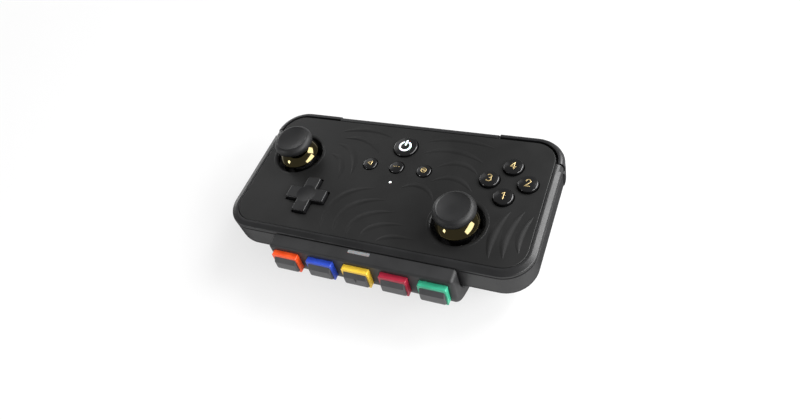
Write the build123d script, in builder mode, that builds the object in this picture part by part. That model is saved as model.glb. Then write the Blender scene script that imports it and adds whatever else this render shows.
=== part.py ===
from build123d import *
from math import sqrt
import os

os.makedirs("parts", exist_ok=True)

# A slim gamepad with two thumb sticks, and a guitar grip with five fret keys along its lower edge.
# X runs along the gamepad, Y points to its shoulder buttons and Z out of its face. The origin lies
# on the plane that the grip's rubber tread rests on, below the middle of the face. Depths are
# measured down from the face.

# Body of the gamepad
body_length = 152.0
body_height = 76.6
body_depth = 19.0
body_corner_r = 14.5
wall = 1.9
rim_fillet = 3.0
back_fillet = 6.4
inner_fillet = 4.4
frame_depth = 4.2
rim_width = 3.5
ledge_width = 2.5
ledge_thickness = 1.6
lip_thickness = 0.8
lip_height = 0.8
lip_gap = 0.1

# Faceplate
plate_thickness = 1.6
plate_gap = 0.2
plate_edge_r = 0.35
hole_edge = 0.25

# Guitar grip
grip_length = 91.4
grip_top_depth = 1.5
grip_front_reach = 6.9
grip_lean = 0.085
grip_gap = 0.25
grip_wall = 1.2
neck_depth = 10.2
nose_r = 12.0
belly_r = 45.0
land_inset = 20.8
land_back = 9.0
tail_inset = 13.8
grip_edge_r = 1.2
grip_end_r = 1.7
cover_drop = 4.3
tread_end_inset = 11.7
tread_inset = 1.0
tread_corner_r = 6.0
tread_thickness = 0.9
tread_proud = 0.4

# Levels above the resting plane
land_z = tread_proud
back_z = land_z + neck_depth
face_z = back_z + body_depth
plate_bottom = face_z - plate_thickness
ledge_bottom = plate_bottom - ledge_thickness
frame_bottom = face_z - frame_depth
floor_z = back_z + wall
half_length = body_length / 2
half_height = body_height / 2

# Main board and what stands on it
board_depth = 11.0
board_thickness = 1.2
board_top = face_z - board_depth
board_bottom = board_top - board_thickness
standoff_r = 2.2
standoff_x = 20.0
standoff_y = 22.5
battery_length = 54.0
battery_height = 34.0
battery_thickness = 4.3
battery_corner_r = 2.0
battery_edge_r = 1.0
motor_edge_r = 0.4
motor_r = 5.0
motor_thickness = 3.4
motor_end_inset = 20.0
motor_side_inset = 14.8
board_inset = 9.3
board_tab = 12.0
board_tab_inset = 2.3

# Thumb sticks
well_top_r = 13.3
well_bottom_r = 10.4
well_depth = 4.2
well_edge_r = 1.0
collar_wall = 0.9
dome_r = 9.1
dome_wall = 1.0
dome_centre = 1.5
dome_top = 6.3
dome_bottom = -3.0
cap_r = 9.7
cap_foot_r = 7.8
cap_waist = 0.8
cap_bulge = 2.6
cap_height = 5.4
cap_rim_r = 7.7
cap_rim_drop = 0.3
cap_dish_r = 7.2
cap_dish = 0.9
shaft_r = 1.2
shaft_gap = 0.05
pivot_depth = 5.2
module_size = 15.0
module_base = 2.4
turret_r = 6.6
turret_bore_r = 5.5
turret_top = 1.1
pot_width = 8.0
pot_depth = 2.8
pot_height = 2.9
trunnion_r = 1.0
yoke_length = 7.6
yoke_width = 6.4
yoke_height = 2.4
yoke_slot_length = 4.8
yoke_slot_width = 4.0
rocker_length = 3.4
rocker_width = 3.7
rocker_height = 2.2
rocker_pin_r = 0.6
shaft_tail = 2.4
hub_r = 2.6
hub_bottom = 1.0
shaft_cover = 0.5
left_stick_inset = 21.1
left_stick_y = 9.3
right_stick_inset = 37.2
right_stick_y = -16.2

# Direction pad
dpad_inset = 38.0
dpad_y = -15.4
dpad_half = 10.15
dpad_arm = 6.9
dpad_proud = 2.0
dpad_gap = 0.7
dpad_corner_r = 0.8
dpad_dish = 0.5
dpad_edge_r = 0.5
dpad_dish_r = 24.0
dpad_flange = 1.2
dpad_flange_depth = 3.1
dpad_flange_thickness = 1.0
dpad_ball_r = 1.6
dpad_ball_depth = 6.0
dpad_hub_r = 2.6
dpad_hub_bottom = 5.4
dpad_post_top = 6.5
dpad_stem_r = 1.6
dpad_stem_place = 7.6
dpad_stem_bottom = 8.5
dpad_dome_height = 1.0
dpad_pad_size = 20.0
dpad_post_r = 2.4
seat_gap = 0.05

# Round buttons
button_gap = 0.2
flange_reach = 1.05
flange_gap = 0.1
flange_thickness = 1.1
face_cluster_inset = 21.1
face_cluster_y = 9.2
face_cluster_half = 8.8
face_button_r = 4.55
face_button_proud = 2.0
face_button_crown = 0.55
face_button_travel = 1.4
small_button_r = 3.5
small_button_proud = 1.0
small_button_crown = 0.35
small_button_pitch = 14.15
small_button_y = 9.0
home_button_r = 6.0
home_button_proud = 1.6
home_button_crown = 0.6
home_button_y = 22.0
button_edge_r = 0.6
switch_travel = 0.6
stem_r = 1.8
pad_thickness = 0.8
pad_dome_height = 1.8
pad_dome_r = 2.3
pad_size = 22.0
pad_corner_r = 2.0
pad_dome_taper = 20.0
travel_gap = 0.1
led_r = 0.65
led_gap = 0.1
led_edge_r = 0.3
switch_size = 5.0
switch_height = 2.2
plunger_r = 1.2
plunger_height = 0.8

# Bumpers and triggers on the shoulder corners
shoulder_inset_x = 32.5
shoulder_inset_y = 14.3
bumper_proud = 0.4
bumper_inner = 2.5
bumper_top_depth = 0.1
bumper_height = 4.9
bumper_fillet = 2.4
bumper_web_depth = 3.6
bumper_end_gap = 0.9
trigger_proud = 0.5
trigger_inner = 2.2
trigger_top_depth = 5.4
trigger_height = 10.0
trigger_top_fillet = 1.0
trigger_bottom_fillet = 2.8
trigger_side_reach = 1.0
shoulder_side_gap = 0.6
trigger_side_gap = 0.4
trigger_end_gap = 1.3
window_reach = 5.8
pin_post_r = 2.4
pin_post_height = 1.2
pin_tip_gap = 0.1
web_reach = 5.0
trigger_web_reach = 4.2
eye_r = 2.2
pin_r = 0.9
pin_inset = 5.8
pin_drop = 15.8
pin_socket = 1.2
trigger_bump_reach = 6.5
trigger_bump_width = 4.0
bumper_switch_depth = 4.3
trigger_switch_depth = 9.5
riser_inset = 10.3
riser_thickness = 1.2
riser_width = 12.0
side_switch_depth = 1.8
side_plunger_r = 0.7
side_plunger = 1.6
side_switch_width = 4.0
side_switch_height = 2.6

# Screws and bosses
boss_r = 2.6
post_r = 2.8
screw_r = 1.0
screw_clear_r = 1.15
screw_head_r = 1.9
screw_head_height = 1.2
counterbore_r = 2.1
counterbore_depth = 2.2
boss_split = 9.0
boss_inset = 6.4
boss_end_y = -14.0
boss_front_x = 24.0
boss_back_x = 36.0
screw_reach = 4.5
screw_tip_gap = 0.1
screw_drive_r = 0.9
screw_drive_depth = 0.6
screw_drive_width = 0.5

# Charging socket in the top edge
port_width = 8.9
port_height = 3.2
port_wall = 0.35
port_length = 7.3
port_recess = 0.3
port_gap = 0.3
port_tongue_width = 6.6
port_tongue = 0.7
port_back = 1.0

# Rails that the grip slides on
rail_x = 33.0
rail_back = 15.0
rail_neck = 3.0
rail_neck_gap = 0.2
rail_head = 5.6
rail_head_height = 1.1
rail_shoulder = 1.5
rail_roof = 1.4
rail_wall = 1.7
rail_length = 42.0
rail_end_gap = 0.5

# Fret keys on the grip's front
fret_names = ["orange", "blue", "yellow", "red", "green"]
fret_end_inset = 2.55
fret_width = 13.1
fret_top_depth = 4.3
fret_height = 10.2
fret_proud = 2.5
fret_edge_r = 0.5
fret_gap = 0.2
fret_flange = 0.5
fret_flange_thickness = 0.6
fret_flange_rise = 2.0
fret_rim = 0.7
fret_pad_sink = 0.5
fret_pad_proud = 1.5
fret_pad_slope = 3.0
fret_pad_foot_r = 2.4
fret_pad_rise = 0.4
fret_pad_depth = 1.4
fret_pad_edge_r = 0.8
fret_travel = 0.8
fret_board_end_inset = 2.5
fret_board_height = 11.0
fret_board_thickness = 0.9
fret_sheet_thickness = 0.6
fret_dome_r = 3.0
nub_width = 0.8
nub_length = 2.4
nub_height = 0.35
nub_root = 0.6
light_bar_length = 10.8
light_bar_width = 1.6
light_bar_depth = 1.3
light_bar_inset = 0.6
light_bar_corner_r = 0.5
grip_screw_end_inset = 6.2
grip_screw_front = 14.0
grip_screw_back = 4.0
grip_boss_r = 2.6
grip_post_r = 3.0

# Places worked out from the sizes above
left_stick = (left_stick_inset - half_length, left_stick_y)
right_stick = (half_length - right_stick_inset, right_stick_y)
stick_places = [left_stick, right_stick]
dpad_place = (dpad_inset - half_length, dpad_y)
cluster = (half_length - face_cluster_inset, face_cluster_y)
face_places = {
    "top": (cluster[0], cluster[1] + face_cluster_half),
    "right": (cluster[0] + face_cluster_half, cluster[1]),
    "bottom": (cluster[0], cluster[1] - face_cluster_half),
    "left": (cluster[0] - face_cluster_half, cluster[1]),
}
small_places = {
    "left": (-small_button_pitch, small_button_y),
    "middle": (0, small_button_y),
    "right": (small_button_pitch, small_button_y),
}
home_place = (0, home_button_y)
switch_places = [*small_places.values(), home_place]
shoulder_x = half_length - shoulder_inset_x
shoulder_y = half_height - shoulder_inset_y
pin_places = [(side * (half_length - pin_inset), half_height - pin_drop) for side in (1, -1)]
boss_places = [
    (side * x, y)
    for side in (1, -1)
    for x, y in (
        (half_length - boss_inset, boss_end_y),
        (boss_front_x, boss_inset - half_height),
        (boss_back_x, half_height - boss_inset),
    )
]
standoff_places = [(x, y) for x in (standoff_x, -standoff_x) for y in (standoff_y, -standoff_y)]
motor_y = motor_side_inset - half_height
motor_x = half_length - motor_end_inset
motor_places = {"right": (motor_x, motor_y), "left": (-motor_x, motor_y)}
trigger_bump_x = shoulder_x + trigger_bump_reach
trigger_bump_length = trigger_web_reach - trigger_inner
riser_y = half_height - riser_inset
pivot_z = face_z - pivot_depth
wall_front_y = -half_height
grip_back_y = wall_front_y - grip_gap
grip_front_y = wall_front_y - grip_front_reach
grip_top = face_z - grip_top_depth
grip_plate_z = back_z - grip_gap
cover_top = back_z - cover_drop
grip_half = grip_length / 2
land_front = half_height - land_inset
tail_back = half_height - tail_inset
tread_length = grip_length - 2 * tread_end_inset
tread_front = land_front - tread_inset
tread_back = land_back - tread_inset
board_y = grip_back_y - grip_wall
sheet_y = board_y - fret_board_thickness
fret_board_length = grip_length - 2 * fret_board_end_inset
fret_pitch = (grip_length - fret_width - 2 * fret_end_inset) / (len(fret_names) - 1)
fret_places = {name: fret_pitch * (i - len(fret_names) // 2) for i, name in enumerate(fret_names)}
fret_top = face_z - fret_top_depth
fret_bottom = fret_top - fret_height
fret_middle = (fret_top + fret_bottom) / 2
fret_front_y = grip_front_y - grip_lean * (grip_top - fret_top) - fret_proud
fret_back_y = fret_front_y + fret_proud + grip_wall + fret_gap + fret_flange_thickness
fret_dome_height = sheet_y - fret_sheet_thickness - fret_back_y - fret_travel - travel_gap
window_top = face_z - trigger_top_depth + trigger_side_gap / 2
window_bottom = face_z - trigger_top_depth - trigger_height - trigger_side_gap
window_side_y = shoulder_y - trigger_side_reach - shoulder_side_gap
rail_front_y = wall - half_height
channel_head = rail_head + 2 * rail_neck_gap
channel_width = channel_head + 2 * rail_wall
rail_head_z = back_z + rail_shoulder + rail_neck_gap
channel_top = rail_head_z + rail_head_height + rail_neck_gap
channel_head_height = channel_top - back_z - rail_shoulder
port_z = board_top + port_height / 2
light_bar_y = grip_back_y - light_bar_inset - light_bar_width / 2
grip_screw_x = grip_half - grip_screw_end_inset
grip_screw_places = [
    (side * grip_screw_x, y)
    for side in (1, -1)
    for y in (grip_screw_back, -grip_screw_front)
]


def outline(inset, mode=Mode.ADD):
    """Rounded rectangle of the body's outline, moved inwards by inset."""
    RectangleRounded(body_length - 2 * inset, body_height - 2 * inset, body_corner_r - inset, mode=mode)


def corner_band(outer, inner, from_x, from_y):
    """Band between two insets of the outline, kept on the two shoulder corners."""
    outline(outer)
    outline(inner, mode=Mode.SUBTRACT)
    with Locations((from_x, from_y)):
        Rectangle(body_length, body_height, align=(Align.MIN, Align.MIN), mode=Mode.INTERSECT)
    mirror(about=Plane.YZ)


def cross(half, arm):
    """Plus sign with rounded corners, in the middle of the sketch."""
    Rectangle(2 * half, arm)
    Rectangle(arm, 2 * half)


def at(place, z):
    """Horizontal plane at height z, centred on a place."""
    return Plane(origin=(place[0], place[1], z))


def upright(place, z):
    """Upright plane through a place, whose sketch runs along X and Z."""
    return Plane(origin=(place[0], place[1], z), x_dir=(1, 0, 0), z_dir=(0, -1, 0))


def circles(shape, radius):
    """Circular edges of one radius."""
    return shape.edges().filter_by(GeomType.CIRCLE).filter_by(lambda e: abs(e.radius - radius) < 1e-4)


def finish(piece, name):
    """Labels a finished piece and writes it."""
    piece.part.label = name
    export_step(piece.part, f"parts/{name}.step")


# Front frame: rounded rim, ledge under the faceplate, screw bosses and pin lugs
with BuildPart() as front_frame:
    with BuildSketch(Plane.XY.offset(face_z)):
        outline(0)
    extrude(amount=-frame_depth)
    fillet(front_frame.faces().sort_by(Axis.Z)[-1].edges(), rim_fillet)
    with BuildSketch(Plane.XY.offset(face_z)):
        outline(rim_width)
    extrude(amount=-plate_thickness, mode=Mode.SUBTRACT)
    with BuildSketch(Plane.XY.offset(plate_bottom)):
        outline(rim_width + ledge_width)
    extrude(amount=frame_bottom - plate_bottom, mode=Mode.SUBTRACT)
    with BuildSketch(Plane.XY.offset(ledge_bottom)):
        outline(wall)
    extrude(amount=frame_bottom - ledge_bottom, mode=Mode.SUBTRACT)
    with BuildSketch(Plane.XY.offset(face_z)):
        corner_band(-bumper_proud, rim_width, shoulder_x - bumper_end_gap, shoulder_y - shoulder_side_gap)
    extrude(amount=-frame_depth, mode=Mode.SUBTRACT)
    with BuildSketch(Plane.XY.offset(plate_bottom)):
        with Locations(*pin_places):
            Circle(eye_r)
    extrude(amount=-ledge_thickness)
    with BuildSketch(Plane.XY.offset(ledge_bottom)):
        with Locations(*boss_places):
            Circle(boss_r)
    extrude(amount=ledge_bottom - face_z + boss_split, dir=(0, 0, -1))
    with BuildSketch(Plane.XY.offset(face_z - boss_split)):
        with Locations(*boss_places):
            Circle(screw_r)
    extrude(amount=boss_split - screw_reach + screw_tip_gap, mode=Mode.SUBTRACT)
    with BuildSketch(Plane.XY.offset(ledge_bottom)):
        with Locations(*pin_places):
            Circle(pin_r)
    extrude(amount=pin_socket, mode=Mode.SUBTRACT)
finish(front_frame, "front_frame")

# Faceplate with its holes, and a tapered well for each stick
with BuildPart() as faceplate:
    with BuildSketch(Plane.XY.offset(face_z)):
        outline(rim_width + plate_gap)
    extrude(amount=-plate_thickness)
    fillet(faceplate.faces().sort_by(Axis.Z)[-1].edges(), plate_edge_r)
    for place in stick_places:
        with BuildSketch(upright(place, face_z)):
            Polygon(
                (0, -plate_thickness),
                (well_top_r + collar_wall, -plate_thickness),
                (well_bottom_r + collar_wall, -well_depth),
                (0, -well_depth),
                align=None,
            )
        revolve(axis=Axis((*place, 0), (0, 0, 1)))
        with BuildSketch(upright(place, face_z)):
            Polygon((0, 0), (well_top_r, 0), (well_bottom_r, -well_depth), (0, -well_depth), align=None)
        revolve(axis=Axis((*place, 0), (0, 0, 1)), mode=Mode.SUBTRACT)
    with BuildSketch(Plane.XY.offset(face_z)):
        with Locations(*face_places.values()):
            Circle(face_button_r + button_gap)
        with Locations(*small_places.values()):
            Circle(small_button_r + button_gap)
        with Locations(home_place):
            Circle(home_button_r + button_gap)
        Circle(led_r + led_gap)
    extrude(amount=-plate_thickness, mode=Mode.SUBTRACT)
    fillet(circles(faceplate.faces().sort_by(Axis.Z)[-1], well_top_r), well_edge_r)
    for radius in (face_button_r, small_button_r, home_button_r):
        chamfer(circles(faceplate.faces().sort_by(Axis.Z)[-1], radius + button_gap), hole_edge)
    with BuildSketch(at(dpad_place, face_z)) as dpad_hole:
        cross(dpad_half + dpad_gap, dpad_arm + 2 * dpad_gap)
        fillet(dpad_hole.vertices(), dpad_corner_r)
    extrude(amount=-plate_thickness, mode=Mode.SUBTRACT)
finish(faceplate, "faceplate")

# Hollow of the back shell, with rounded lower edges
with BuildPart() as shell_hollow:
    with BuildSketch(Plane.XY.offset(floor_z)):
        outline(wall)
    extrude(amount=frame_bottom - floor_z)
    fillet(shell_hollow.faces().sort_by(Axis.Z)[0].edges(), inner_fillet)

# Back shell: deep tub with shoulder windows, screw posts, board standoffs, rail channels and
# pin sockets
with BuildPart() as back_shell:
    with BuildSketch(Plane.XY.offset(frame_bottom)):
        outline(0)
    extrude(amount=back_z - frame_bottom)
    fillet(back_shell.faces().sort_by(Axis.Z)[0].edges(), back_fillet)
    add(shell_hollow.part, mode=Mode.SUBTRACT)
    # Lip inside the frame's wall
    with BuildSketch(Plane.XY.offset(frame_bottom - lip_height)):
        outline(wall)
        outline(wall + lip_gap + lip_thickness, mode=Mode.SUBTRACT)
    extrude(amount=lip_height)
    with BuildSketch(Plane.XY.offset(frame_bottom)):
        outline(wall + lip_gap)
        outline(wall + lip_gap + lip_thickness, mode=Mode.SUBTRACT)
    extrude(amount=lip_height)
    # Shoulder windows: a shallow one for the bumper and a deep one for the trigger
    with BuildSketch(Plane.XY.offset(frame_bottom + lip_height)):
        corner_band(-bumper_proud, window_reach, shoulder_x - bumper_end_gap, shoulder_y - shoulder_side_gap)
    extrude(amount=window_top - frame_bottom - lip_height, mode=Mode.SUBTRACT)
    with BuildSketch(Plane.XY.offset(frame_bottom + lip_height)):
        corner_band(wall, window_reach, shoulder_x - trigger_end_gap, window_side_y)
    extrude(amount=window_top - frame_bottom - lip_height, mode=Mode.SUBTRACT)
    with BuildSketch(Plane.XY.offset(window_top)):
        corner_band(-trigger_proud, window_reach, shoulder_x - trigger_end_gap, window_side_y)
    extrude(amount=window_bottom - window_top, mode=Mode.SUBTRACT)
    # Posts, standoffs and pin sockets rise from the floor, and rail channels run along it
    with BuildSketch(Plane.XY.offset(floor_z)):
        with Locations(*boss_places):
            Circle(post_r)
    extrude(amount=face_z - boss_split - floor_z)
    with BuildSketch(Plane.XY.offset(floor_z)):
        with Locations(*standoff_places):
            Circle(standoff_r)
    extrude(amount=board_bottom - floor_z)
    with BuildSketch(Plane.XY.offset(floor_z)):
        with Locations(*pin_places):
            Circle(pin_post_r)
    extrude(amount=pin_post_height)
    with BuildSketch(Plane.XY.offset(floor_z)):
        with Locations((rail_x, rail_front_y), (-rail_x, rail_front_y)):
            Rectangle(channel_width, rail_back + rail_wall - rail_front_y, align=(Align.CENTER, Align.MIN))
    extrude(amount=channel_top + rail_roof - floor_z)
    # Holes: screws, pins, rails and the charging socket
    with BuildSketch(Plane.XY.offset(back_z)):
        with Locations(*boss_places):
            Circle(screw_clear_r)
    extrude(amount=body_depth - boss_split, mode=Mode.SUBTRACT)
    with BuildSketch(Plane.XY.offset(back_z)):
        with Locations(*boss_places):
            Circle(counterbore_r)
    extrude(amount=counterbore_depth, mode=Mode.SUBTRACT)
    with BuildSketch(Plane.XY.offset(floor_z + pin_post_height)):
        with Locations(*pin_places):
            Circle(pin_r)
    extrude(amount=-pin_post_height, mode=Mode.SUBTRACT)
    with BuildSketch(Plane.XZ.offset(-rail_back)):
        for side in (1, -1):
            with Locations((side * rail_x, back_z)):
                Rectangle(rail_neck + 2 * rail_neck_gap, rail_shoulder, align=(Align.CENTER, Align.MIN))
            with Locations((side * rail_x, back_z + rail_shoulder)):
                Rectangle(channel_head, channel_head_height, align=(Align.CENTER, Align.MIN))
    extrude(amount=rail_back + half_height, mode=Mode.SUBTRACT)
    with BuildSketch(Plane.XZ.offset(-half_height)):
        with Locations((0, port_z)):
            SlotOverall(port_width + 2 * port_gap, port_height + 2 * port_gap)
    extrude(amount=port_length, mode=Mode.SUBTRACT)
finish(back_shell, "back_shell")

# Main board on its standoffs, with a tab under the charging socket
with BuildPart() as main_board:
    with BuildSketch(Plane.XY.offset(board_bottom)):
        outline(board_inset)
        with Locations((0, half_height - board_tab_inset)):
            Rectangle(board_tab, 2 * board_inset, align=(Align.CENTER, Align.MAX))
    extrude(amount=board_thickness)
finish(main_board, "main_board")

# Battery pouch on the floor of the back shell
with BuildPart() as battery:
    with BuildSketch(Plane.XY.offset(floor_z)):
        RectangleRounded(battery_length, battery_height, battery_corner_r)
    extrude(amount=battery_thickness)
    fillet(battery.edges().filter_by(GeomType.LINE).group_by(Axis.Z)[-1], battery_edge_r)
finish(battery, "battery")

# Charging socket: folded steel shell round a contact tongue
with BuildPart() as usb_socket:
    with BuildSketch(Plane.XZ.offset(port_recess - half_height)):
        with Locations((0, port_z)):
            SlotOverall(port_width, port_height)
            SlotOverall(port_width - 2 * port_wall, port_height - 2 * port_wall, mode=Mode.SUBTRACT)
    extrude(amount=port_length)
    with BuildSketch(Plane.XZ.offset(port_recess - half_height + port_length)):
        with Locations((0, port_z)):
            SlotOverall(port_width - 2 * port_wall, port_height - 2 * port_wall)
    extrude(amount=-port_back)
    with BuildSketch(Plane.XZ.offset(port_recess - half_height + port_back)):
        with Locations((0, port_z)):
            Rectangle(port_tongue_width, port_tongue)
    extrude(amount=port_length - port_back)
finish(usb_socket, "usb_socket")

# Sealed coin vibration motors on the floor of the back shell
for side, place in motor_places.items():
    with BuildPart() as motor:
        with BuildSketch(at(place, floor_z)):
            Circle(motor_r)
        extrude(amount=motor_thickness)
        fillet(circles(motor.part, motor_r).sort_by(Axis.Z)[-1], motor_edge_r)
    finish(motor, f"{side}_vibration_motor")


def stick_module(side, place):
    """Square base with a round turret that carries the yoke, and two sensor blocks."""
    with BuildPart() as module:
        with BuildSketch(at(place, board_top)):
            Rectangle(module_size, module_size)
        extrude(amount=module_base)
        with BuildSketch(at(place, board_top)):
            with Locations((module_size / 2, 0)):
                Rectangle(pot_depth, pot_width, align=(Align.MIN, Align.CENTER))
            with Locations((0, -module_size / 2)):
                Rectangle(pot_width, pot_depth, align=(Align.CENTER, Align.MAX))
        extrude(amount=pot_height)
        with BuildSketch(at(place, board_top + module_base)):
            Circle(turret_r)
            Circle(turret_bore_r, mode=Mode.SUBTRACT)
        extrude(amount=pivot_z + turret_top - board_top - module_base)
        with BuildSketch(Plane.YZ.offset(place[0] - turret_r)):
            with Locations((place[1], pivot_z)):
                Circle(trunnion_r + shaft_gap)
        extrude(amount=2 * turret_r, mode=Mode.SUBTRACT)
    finish(module, f"{side}_stick_module")


def stick_yoke(side, place):
    """Slotted frame that turns about X on two trunnions."""
    with BuildPart() as yoke:
        with BuildSketch(at(place, pivot_z - yoke_height / 2)):
            Rectangle(yoke_length, yoke_width)
            Rectangle(yoke_slot_length, yoke_slot_width, mode=Mode.SUBTRACT)
        extrude(amount=yoke_height)
        for sign in (1, -1):
            with BuildSketch(Plane.YZ.offset(place[0] + sign * yoke_slot_length / 2)):
                with Locations((place[1], pivot_z)):
                    Circle(trunnion_r)
            extrude(amount=sign * (turret_r - yoke_slot_length / 2))
        with BuildSketch(Plane.XZ.offset(-place[1] - yoke_width)):
            with Locations((place[0], pivot_z)):
                Circle(rocker_pin_r + shaft_gap)
        extrude(amount=2 * yoke_width, mode=Mode.SUBTRACT)
    finish(yoke, f"{side}_stick_yoke")


def stick_rocker(side, place):
    """Block inside the yoke that turns about Y on two pins and guides the shaft."""
    with BuildPart() as rocker:
        with BuildSketch(at(place, pivot_z - rocker_height / 2)):
            Rectangle(rocker_length, rocker_width)
        extrude(amount=rocker_height)
        with BuildSketch(Plane.XZ.offset(-place[1])):
            with Locations((place[0], pivot_z)):
                Circle(rocker_pin_r)
        extrude(amount=yoke_width / 2, both=True)
        with BuildSketch(at(place, pivot_z - rocker_height / 2)):
            Circle(shaft_r + shaft_gap)
        extrude(amount=rocker_height, mode=Mode.SUBTRACT)
    finish(rocker, f"{side}_stick_rocker")


def stick_shaft(side, place):
    """Round shaft from the rocker up into the dome's hub."""
    with BuildPart() as shaft:
        with BuildSketch(at(place, pivot_z - shaft_tail)):
            Circle(shaft_r)
        extrude(amount=face_z + dome_top - shaft_cover - pivot_z + shaft_tail)
    finish(shaft, f"{side}_stick_shaft")


def stick_dome(side, place):
    """Hollow ball skirt, cut flat on top for the cap and open below, with a hub for the shaft."""
    with BuildPart() as dome:
        with Locations((*place, face_z + dome_centre)):
            Sphere(dome_r)
            Sphere(dome_r - dome_wall, mode=Mode.SUBTRACT)
        with BuildSketch(at(place, face_z + dome_top)):
            Circle(sqrt(dome_r**2 - (dome_top - dome_centre) ** 2))
        extrude(amount=-dome_wall)
        with BuildSketch(at(place, face_z + dome_top)):
            Circle(hub_r)
        extrude(amount=hub_bottom - dome_top)
        split(bisect_by=Plane.XY.offset(face_z + dome_top), keep=Keep.BOTTOM)
        split(bisect_by=Plane.XY.offset(face_z + dome_bottom), keep=Keep.TOP)
        with BuildSketch(at(place, face_z + dome_top - shaft_cover)):
            Circle(shaft_r)
        extrude(amount=hub_bottom - dome_top + shaft_cover, mode=Mode.SUBTRACT)
    finish(dome, f"{side}_stick_dome")


def stick_cap(side, place):
    """Rubber cap: narrow foot, rounded side, raised rim and a dished middle."""
    bulge_z = dome_top + cap_bulge
    rim_z = dome_top + cap_height
    dish_z = rim_z - cap_rim_drop
    with BuildPart() as cap:
        with BuildSketch(upright(place, face_z)):
            with BuildLine():
                Line((cap_foot_r, dome_top), (cap_foot_r, dome_top + cap_waist))
                TangentArc((cap_r, bulge_z), (cap_foot_r, dome_top + cap_waist), tangent=(0, -1))
                TangentArc((cap_r, bulge_z), (cap_rim_r, rim_z), tangent=(0, 1))
                Line((cap_rim_r, rim_z), (cap_dish_r, dish_z))
                TangentArc((0, dish_z - cap_dish), (cap_dish_r, dish_z), tangent=(1, 0))
                Polyline((0, dish_z - cap_dish), (0, dome_top), (cap_foot_r, dome_top))
            make_face()
        revolve(axis=Axis((*place, 0), (0, 0, 1)))
    finish(cap, f"{side}_stick_cap")


for side, place in (("left", left_stick), ("right", right_stick)):
    stick_module(side, place)
    stick_yoke(side, place)
    stick_rocker(side, place)
    stick_shaft(side, place)
    stick_dome(side, place)
    stick_cap(side, place)

# Direction pad: dished cross with a flange, a socket for its ball and four stems
with BuildPart() as dpad:
    with BuildSketch(at(dpad_place, face_z - dpad_flange_depth)) as dpad_cross:
        cross(dpad_half, dpad_arm)
        fillet(dpad_cross.vertices().group_by(SortBy.DISTANCE)[-1], dpad_corner_r)
    extrude(amount=dpad_flange_depth + dpad_proud)
    fillet(dpad.faces().sort_by(Axis.Z)[-1].edges(), dpad_edge_r)
    with BuildSketch(at(dpad_place, face_z - dpad_flange_depth)):
        cross(dpad_half + dpad_flange, dpad_arm + 2 * dpad_flange)
    extrude(amount=-dpad_flange_thickness)
    with BuildSketch(at(dpad_place, face_z - dpad_hub_bottom)):
        Circle(dpad_hub_r)
    extrude(amount=dpad_hub_bottom - dpad_flange_depth)
    with BuildSketch(at(dpad_place, face_z - dpad_stem_bottom)):
        with PolarLocations(dpad_stem_place, 4):
            Circle(dpad_stem_r)
    extrude(amount=dpad_stem_bottom - dpad_flange_depth)
    with Locations((*dpad_place, face_z - dpad_ball_depth)):
        Sphere(dpad_ball_r + seat_gap, mode=Mode.SUBTRACT)
    with Locations((*dpad_place, face_z + dpad_proud + dpad_dish_r - dpad_dish)):
        Sphere(dpad_dish_r, mode=Mode.SUBTRACT)
finish(dpad, "dpad")

# Steel ball that the direction pad rocks on
with BuildPart() as dpad_ball:
    with Locations((*dpad_place, face_z - dpad_ball_depth)):
        Sphere(dpad_ball_r)
finish(dpad_ball, "dpad_pivot_ball")

# Post that carries the ball
with BuildPart() as dpad_post:
    with BuildSketch(at(dpad_place, board_top)):
        Circle(dpad_post_r)
    extrude(amount=board_depth - dpad_post_top)
    with Locations((*dpad_place, face_z - dpad_ball_depth)):
        Sphere(dpad_ball_r + seat_gap, mode=Mode.SUBTRACT)
finish(dpad_post, "dpad_pivot_post")

# Rubber dome pad of the direction pad, with a hole round the post
with BuildPart() as dpad_pad:
    with BuildSketch(at(dpad_place, board_top)):
        RectangleRounded(dpad_pad_size, dpad_pad_size, pad_corner_r)
        Circle(dpad_post_r + seat_gap, mode=Mode.SUBTRACT)
    extrude(amount=pad_thickness)
    with BuildSketch(at(dpad_place, board_top + pad_thickness)):
        with PolarLocations(dpad_stem_place, 4):
            Circle(pad_dome_r)
    extrude(amount=dpad_dome_height, taper=pad_dome_taper)
finish(dpad_pad, "dpad_dome_pad")

# Rubber dome pad of the four face buttons
with BuildPart() as face_pad:
    with BuildSketch(at(cluster, board_top)):
        RectangleRounded(pad_size, pad_size, pad_corner_r)
    extrude(amount=pad_thickness)
    with BuildSketch(at(cluster, board_top + pad_thickness)):
        with PolarLocations(face_cluster_half, 4):
            Circle(pad_dome_r)
    extrude(amount=pad_dome_height, taper=pad_dome_taper)
finish(face_pad, "face_button_dome_pad")


def round_button(name, place, size, stem_bottom):
    """Crowned round key with a flange under the faceplate and a stem down to its switch."""
    radius, proud, crown = size
    flange_top = plate_thickness + flange_gap
    flange_bottom = flange_top + flange_thickness
    with BuildPart() as button:
        with BuildSketch(upright(place, face_z)):
            with BuildLine():
                TangentArc((0, proud), (radius, proud - crown), tangent=(1, 0))
                Polyline(
                    (radius, proud - crown),
                    (radius, -flange_top),
                    (radius + flange_reach, -flange_top),
                    (radius + flange_reach, -flange_bottom),
                    (stem_r, -flange_bottom),
                    (stem_r, -stem_bottom),
                    (0, -stem_bottom),
                    (0, proud),
                )
            make_face()
        revolve(axis=Axis((*place, 0), (0, 0, 1)))
        fillet(circles(button.part, radius).sort_by(Axis.Z)[-1], button_edge_r)
    finish(button, name)


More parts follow.
